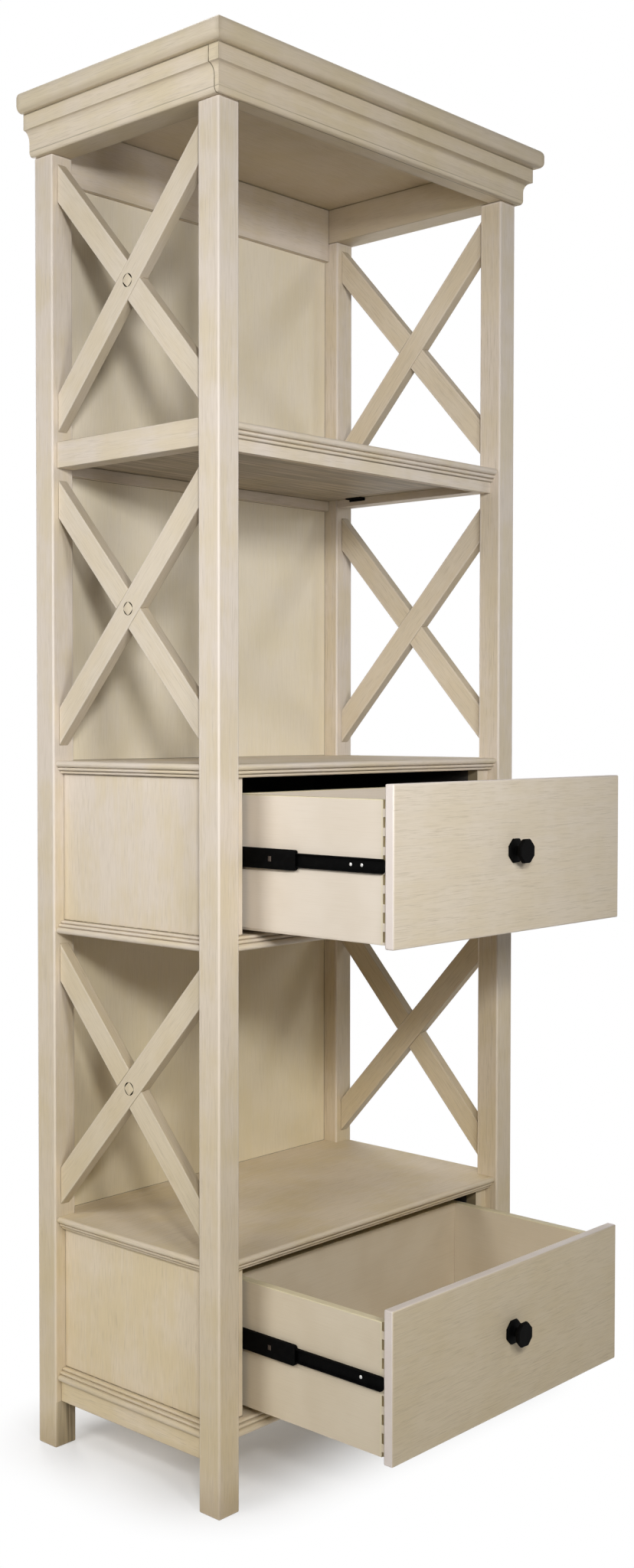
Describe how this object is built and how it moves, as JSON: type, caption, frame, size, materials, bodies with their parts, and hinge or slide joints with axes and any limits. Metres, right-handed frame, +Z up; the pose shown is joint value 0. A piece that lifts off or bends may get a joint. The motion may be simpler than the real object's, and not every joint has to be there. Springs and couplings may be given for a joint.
{
  "type": "display cabinet",
  "caption": "Tall narrow open display cabinet with square posts, moulded crown, shelf, crossed side braces and drawers on telescopic slides.",
  "frame": {"origin": "on the floor, in the middle of the box round the cabinet with its drawers standing open", "axes": "+Z up, -Y out of the front, the way the drawers open, and +X to the right as seen from the front"},
  "size_m": [0.714, 0.619, 1.92],
  "materials": {
    "frame_paint": "antique cream paint, brown glaze in the grain and joints, satin",
    "panel_paint": "antique cream paint over fine upright grain, satin",
    "drawer_face_paint": "antique cream paint over fine level grain, satin",
    "drawer_box_paint": "smooth pale cream lacquer",
    "slide_metal": "black coated steel",
    "knob_metal": "matte black"
  },
  "bodies": {
    "carcass": {"apron_left": "frame_paint", "apron_right": "frame_paint", "back_panel": "panel_paint", "brace_low_left_inner": "frame_paint", "brace_low_left_outer": "frame_paint", "brace_low_right_inner": "frame_paint", "brace_low_right_outer": "frame_paint", "brace_middle_left_inner": "frame_paint", "brace_middle_left_outer": "frame_paint", "brace_middle_right_inner": "frame_paint", "brace_middle_right_outer": "frame_paint", "brace_top_left_inner": "frame_paint", "brace_top_left_outer": "frame_paint", "brace_top_right_inner": "frame_paint", "brace_top_right_outer": "frame_paint", "cap_board": "frame_paint", "crown_front": "frame_paint", "crown_left": "frame_paint", "crown_right": "frame_paint", "lower_side_left": "panel_paint", "lower_side_right": "panel_paint", "lower_slide_cabinet_left": "slide_metal", "lower_slide_cabinet_right": "slide_metal", "lower_unit_base": "frame_paint", "lower_unit_top": "frame_paint", "post_back_left": "frame_paint", "post_back_right": "frame_paint", "post_front_left": "frame_paint", "post_front_right": "frame_paint", "shelf": "frame_paint", "shelf_rail_back": "frame_paint", "shelf_rail_left": "frame_paint", "shelf_rail_right": "frame_paint", "top_rail_back": "frame_paint", "upper_side_left": "panel_paint", "upper_side_right": "panel_paint", "upper_slide_cabinet_left": "slide_metal", "upper_slide_cabinet_right": "slide_metal", "upper_unit_base": "frame_paint", "upper_unit_top": "frame_paint"},
    "upper_drawer": {"upper_drawer_back": "drawer_box_paint", "upper_drawer_bottom": "drawer_box_paint", "upper_drawer_face": "drawer_face_paint", "upper_drawer_knob": "knob_metal", "upper_drawer_side_left": "drawer_box_paint", "upper_drawer_side_right": "drawer_box_paint", "upper_slide_drawer_left": "slide_metal", "upper_slide_drawer_right": "slide_metal"},
    "upper_runners": {"upper_slide_runner_left": "slide_metal", "upper_slide_runner_right": "slide_metal"},
    "lower_drawer": {"lower_drawer_back": "drawer_box_paint", "lower_drawer_bottom": "drawer_box_paint", "lower_drawer_face": "drawer_face_paint", "lower_drawer_knob": "knob_metal", "lower_drawer_side_left": "drawer_box_paint", "lower_drawer_side_right": "drawer_box_paint", "lower_slide_drawer_left": "slide_metal", "lower_slide_drawer_right": "slide_metal"},
    "lower_runners": {"lower_slide_runner_left": "slide_metal", "lower_slide_runner_right": "slide_metal"}
  },
  "joints": [
    {"name": "upper_drawer_slide", "type": "slide", "parent": "carcass", "child": "upper_drawer", "axis": [0, -1, 0], "range_m": [-0.252, 0]},
    {"name": "lower_drawer_slide", "type": "slide", "parent": "carcass", "child": "lower_drawer", "axis": [0, -1, 0], "range_m": [-0.252, 0]},
    {"name": "upper_runner_slide", "type": "slide", "parent": "carcass", "child": "upper_runners", "axis": [0, -1, 0], "range_m": [-0.126, 0]},
    {"name": "lower_runner_slide", "type": "slide", "parent": "carcass", "child": "lower_runners", "axis": [0, -1, 0], "range_m": [-0.126, 0]}
  ],
  "couplings": [
    {"joint": "upper_runner_slide", "follows": "upper_drawer_slide", "ratio": 0.5},
    {"joint": "lower_runner_slide", "follows": "lower_drawer_slide", "ratio": 0.5}
  ]
}
